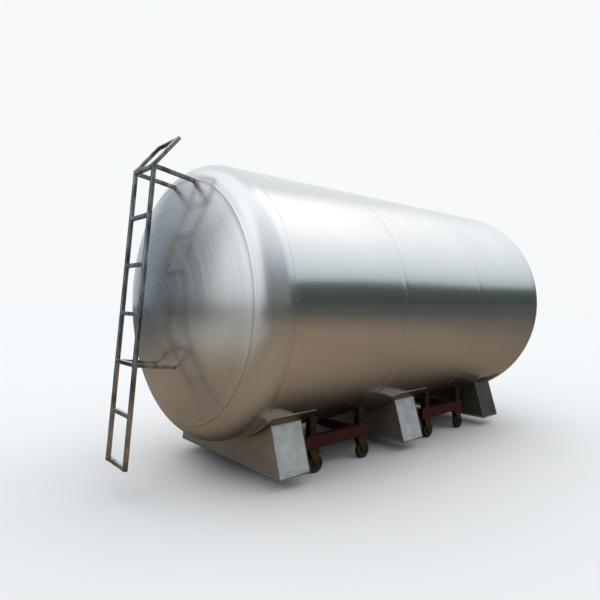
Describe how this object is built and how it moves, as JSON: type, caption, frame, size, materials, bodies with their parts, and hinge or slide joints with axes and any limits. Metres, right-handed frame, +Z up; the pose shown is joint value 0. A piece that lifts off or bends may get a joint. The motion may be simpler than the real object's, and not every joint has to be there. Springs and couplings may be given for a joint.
{
  "type": "water tank",
  "caption": "Horizontal steel water tank with dished ends, a leaning ladder, box saddles and low dollies on braked swivel casters.",
  "frame": {"origin": "on the ground, below the middle of the overall length and in the tank's middle plane", "axes": "+X along the tank from the ladder end to the rear, +Y to the far side, +Z up"},
  "size_m": [4.8146, 2.2, 2.6405],
  "materials": {
    "tank_shell": "brushed",
    "tank_head": "polished in rings",
    "wear_plate": "mill",
    "saddle_plate": "mill",
    "ladder_tube": "satin",
    "dolly_paint": "worn red-brown primer",
    "caster_zinc": "yellow zinc plate",
    "caster_wheel": "matt"
  },
  "bodies": {
    "tank": {"front_head": "tank_head", "rear_head": "tank_head", "front_course": "tank_shell", "middle_course": "tank_shell", "rear_course": "tank_shell", "front_saddle": "saddle_plate", "front_saddle_base_plate": "saddle_plate", "front_saddle_wear_plate": "wear_plate", "middle_saddle": "saddle_plate", "middle_saddle_base_plate": "saddle_plate", "middle_saddle_wear_plate": "wear_plate", "rear_saddle": "saddle_plate", "rear_saddle_base_plate": "saddle_plate", "rear_saddle_wear_plate": "wear_plate", "ladder_near_rail": "ladder_tube", "ladder_far_rail": "ladder_tube", "ladder_bottom_bar": "ladder_tube", "ladder_rung_1": "ladder_tube", "ladder_rung_2": "ladder_tube", "ladder_rung_3": "ladder_tube", "ladder_rung_4": "ladder_tube", "ladder_rung_5": "ladder_tube", "ladder_top_bar": "ladder_tube", "upper_near_bracket": "ladder_tube", "upper_far_bracket": "ladder_tube", "lower_near_bracket": "ladder_tube", "lower_far_bracket": "ladder_tube", "handhold_near_bar": "ladder_tube", "handhold_far_bar": "ladder_tube", "handhold_crossbar": "ladder_tube", "front_dolly_near_side": "dolly_paint", "front_dolly_far_side": "dolly_paint", "front_dolly_front_beam": "dolly_paint", "front_dolly_rear_beam": "dolly_paint", "rear_dolly_near_side": "dolly_paint", "rear_dolly_far_side": "dolly_paint", "rear_dolly_front_beam": "dolly_paint", "rear_dolly_rear_beam": "dolly_paint"},
    "front_dolly_near_front_fork": {"front_dolly_near_front_fork": "caster_zinc"},
    "front_dolly_near_front_wheel": {"front_dolly_near_front_wheel": "caster_wheel"},
    "front_dolly_near_rear_fork": {"front_dolly_near_rear_fork": "caster_zinc"},
    "front_dolly_near_rear_wheel": {"front_dolly_near_rear_wheel": "caster_wheel"},
    "front_dolly_far_front_fork": {"front_dolly_far_front_fork": "caster_zinc"},
    "front_dolly_far_front_wheel": {"front_dolly_far_front_wheel": "caster_wheel"},
    "front_dolly_far_rear_fork": {"front_dolly_far_rear_fork": "caster_zinc"},
    "front_dolly_far_rear_wheel": {"front_dolly_far_rear_wheel": "caster_wheel"},
    "rear_dolly_near_front_fork": {"rear_dolly_near_front_fork": "caster_zinc"},
    "rear_dolly_near_front_wheel": {"rear_dolly_near_front_wheel": "caster_wheel"},
    "rear_dolly_near_rear_fork": {"rear_dolly_near_rear_fork": "caster_zinc"},
    "rear_dolly_near_rear_wheel": {"rear_dolly_near_rear_wheel": "caster_wheel"},
    "rear_dolly_far_front_fork": {"rear_dolly_far_front_fork": "caster_zinc"},
    "rear_dolly_far_front_wheel": {"rear_dolly_far_front_wheel": "caster_wheel"},
    "rear_dolly_far_rear_fork": {"rear_dolly_far_rear_fork": "caster_zinc"},
    "rear_dolly_far_rear_wheel": {"rear_dolly_far_rear_wheel": "caster_wheel"}
  },
  "joints": [
    {"name": "front_dolly_near_front_swivel", "type": "hinge", "parent": "tank", "child": "front_dolly_near_front_fork", "pos_m": [-0.984, -0.55, 0.208], "axis": [0, 0, 1], "continuous": true},
    {"name": "front_dolly_near_front_roll", "type": "hinge", "parent": "front_dolly_near_front_fork", "child": "front_dolly_near_front_wheel", "pos_m": [-0.944, -0.55, 0.075], "axis": [0, 1, 0], "continuous": true},
    {"name": "front_dolly_near_rear_swivel", "type": "hinge", "parent": "tank", "child": "front_dolly_near_rear_fork", "pos_m": [-0.394, -0.55, 0.208], "axis": [0, 0, 1], "continuous": true},
    {"name": "front_dolly_near_rear_roll", "type": "hinge", "parent": "front_dolly_near_rear_fork", "child": "front_dolly_near_rear_wheel", "pos_m": [-0.354, -0.55, 0.075], "axis": [0, 1, 0], "continuous": true},
    {"name": "front_dolly_far_front_swivel", "type": "hinge", "parent": "tank", "child": "front_dolly_far_front_fork", "pos_m": [-0.984, 0.55, 0.208], "axis": [0, 0, 1], "continuous": true},
    {"name": "front_dolly_far_front_roll", "type": "hinge", "parent": "front_dolly_far_front_fork", "child": "front_dolly_far_front_wheel", "pos_m": [-0.944, 0.55, 0.075], "axis": [0, 1, 0], "continuous": true},
    {"name": "front_dolly_far_rear_swivel", "type": "hinge", "parent": "tank", "child": "front_dolly_far_rear_fork", "pos_m": [-0.394, 0.55, 0.208], "axis": [0, 0, 1], "continuous": true},
    {"name": "front_dolly_far_rear_roll", "type": "hinge", "parent": "front_dolly_far_rear_fork", "child": "front_dolly_far_rear_wheel", "pos_m": [-0.354, 0.55, 0.075], "axis": [0, 1, 0], "continuous": true},
    {"name": "rear_dolly_near_front_swivel", "type": "hinge", "parent": "tank", "child": "rear_dolly_near_front_fork", "pos_m": [0.631, -0.55, 0.208], "axis": [0, 0, 1], "continuous": true},
    {"name": "rear_dolly_near_front_roll", "type": "hinge", "parent": "rear_dolly_near_front_fork", "child": "rear_dolly_near_front_wheel", "pos_m": [0.671, -0.55, 0.075], "axis": [0, 1, 0], "continuous": true},
    {"name": "rear_dolly_near_rear_swivel", "type": "hinge", "parent": "tank", "child": "rear_dolly_near_rear_fork", "pos_m": [1.221, -0.55, 0.208], "axis": [0, 0, 1], "continuous": true},
    {"name": "rear_dolly_near_rear_roll", "type": "hinge", "parent": "rear_dolly_near_rear_fork", "child": "rear_dolly_near_rear_wheel", "pos_m": [1.261, -0.55, 0.075], "axis": [0, 1, 0], "continuous": true},
    {"name": "rear_dolly_far_front_swivel", "type": "hinge", "parent": "tank", "child": "rear_dolly_far_front_fork", "pos_m": [0.631, 0.55, 0.208], "axis": [0, 0, 1], "continuous": true},
    {"name": "rear_dolly_far_front_roll", "type": "hinge", "parent": "rear_dolly_far_front_fork", "child": "rear_dolly_far_front_wheel", "pos_m": [0.671, 0.55, 0.075], "axis": [0, 1, 0], "continuous": true},
    {"name": "rear_dolly_far_rear_swivel", "type": "hinge", "parent": "tank", "child": "rear_dolly_far_rear_fork", "pos_m": [1.221, 0.55, 0.208], "axis": [0, 0, 1], "continuous": true},
    {"name": "rear_dolly_far_rear_roll", "type": "hinge", "parent": "rear_dolly_far_rear_fork", "child": "rear_dolly_far_rear_wheel", "pos_m": [1.261, 0.55, 0.075], "axis": [0, 1, 0], "continuous": true}
  ]
}
